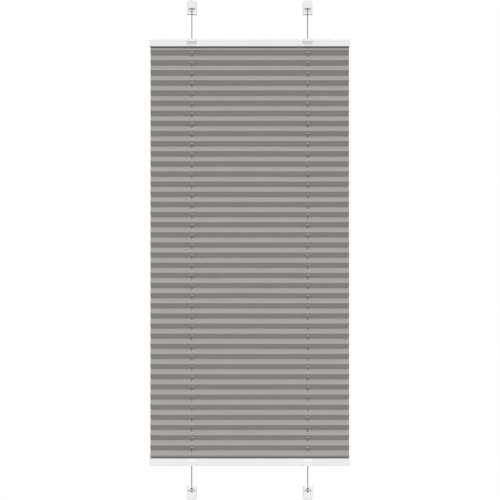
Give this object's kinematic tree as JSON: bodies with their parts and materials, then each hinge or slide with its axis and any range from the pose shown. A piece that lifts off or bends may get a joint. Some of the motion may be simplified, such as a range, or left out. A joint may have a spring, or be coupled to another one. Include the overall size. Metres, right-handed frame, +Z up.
{
  "type": "pleated blind",
  "caption": "Free-hanging pleated blind: a zigzag sheet between two slim rails that slide on taut cords, held by clamps that hook over a window sash.",
  "frame": {"origin": "on the sash's top edge, in the plane of its front face, midway between the two cords", "axes": "+X to the right, -Y into the room, +Z up along the cords"},
  "size_m": [0.4, 0.0502, 0.9962],
  "materials": {
    "coated_aluminium": "smooth white powder coat",
    "white_plastic": "satin moulded",
    "strip_plastic": "extruded satin",
    "painted_steel": "white enamel",
    "zinc_steel": "zinc plated",
    "spring_steel": "bright rolled",
    "pad_rubber": "matt",
    "cord": "braided polyester",
    "pleated_cloth": "woven polyester, stiffened"
  },
  "bodies": {
    "root": {"left_cord": "cord", "right_cord": "cord", "top_left_clamp_plate": "painted_steel", "top_left_clamp_housing": "white_plastic", "top_left_clamp_screw": "zinc_steel", "top_left_cord_toggle": "white_plastic", "top_right_clamp_plate": "painted_steel", "top_right_clamp_housing": "white_plastic", "top_right_clamp_screw": "zinc_steel", "top_right_cord_toggle": "white_plastic", "bottom_left_clamp_plate": "painted_steel", "bottom_left_clamp_housing": "white_plastic", "bottom_left_clamp_screw": "zinc_steel", "bottom_left_cord_toggle": "white_plastic", "bottom_right_clamp_plate": "painted_steel", "bottom_right_clamp_housing": "white_plastic", "bottom_right_clamp_screw": "zinc_steel", "bottom_right_cord_toggle": "white_plastic"},
    "top_rail": {"top_rail_extrusion": "coated_aluminium", "top_fabric_strip": "strip_plastic", "top_rail_left_cap": "white_plastic", "top_rail_right_cap": "white_plastic", "top_left_cord_guide": "white_plastic", "top_left_brake_spring": "spring_steel", "top_right_cord_guide": "white_plastic", "top_right_brake_spring": "spring_steel", "pleated_fabric": "pleated_cloth"},
    "bottom_rail": {"bottom_rail_extrusion": "coated_aluminium", "bottom_fabric_strip": "strip_plastic", "bottom_rail_left_cap": "white_plastic", "bottom_rail_right_cap": "white_plastic", "bottom_left_cord_guide": "white_plastic", "bottom_left_brake_spring": "spring_steel", "bottom_right_cord_guide": "white_plastic", "bottom_right_brake_spring": "spring_steel"},
    "top_left_hook": {"top_left_clamp_hook": "painted_steel", "top_left_clamp_pad": "pad_rubber"},
    "top_right_hook": {"top_right_clamp_hook": "painted_steel", "top_right_clamp_pad": "pad_rubber"},
    "bottom_left_hook": {"bottom_left_clamp_hook": "painted_steel", "bottom_left_clamp_pad": "pad_rubber"},
    "bottom_right_hook": {"bottom_right_clamp_hook": "painted_steel", "bottom_right_clamp_pad": "pad_rubber"}
  },
  "joints": [
    {"name": "top_rail_slide", "type": "slide", "parent": "root", "child": "top_rail", "axis": [0, 0, 1], "range_m": [-0.38, 0.045], "deforming": ["pleated_fabric"]},
    {"name": "bottom_rail_slide", "type": "slide", "parent": "root", "child": "bottom_rail", "axis": [0, 0, 1], "range_m": [-0.037, 0.38], "deforming": ["pleated_fabric"]},
    {"name": "top_left_hook_slide", "type": "slide", "parent": "root", "child": "top_left_hook", "axis": [0, 1, 0], "range_m": [-0.004, 0.004]},
    {"name": "top_right_hook_slide", "type": "slide", "parent": "root", "child": "top_right_hook", "axis": [0, 1, 0], "range_m": [-0.004, 0.004]},
    {"name": "bottom_left_hook_slide", "type": "slide", "parent": "root", "child": "bottom_left_hook", "axis": [0, 1, 0], "range_m": [-0.004, 0.004]},
    {"name": "bottom_right_hook_slide", "type": "slide", "parent": "root", "child": "bottom_right_hook", "axis": [0, 1, 0], "range_m": [-0.004, 0.004]}
  ]
}
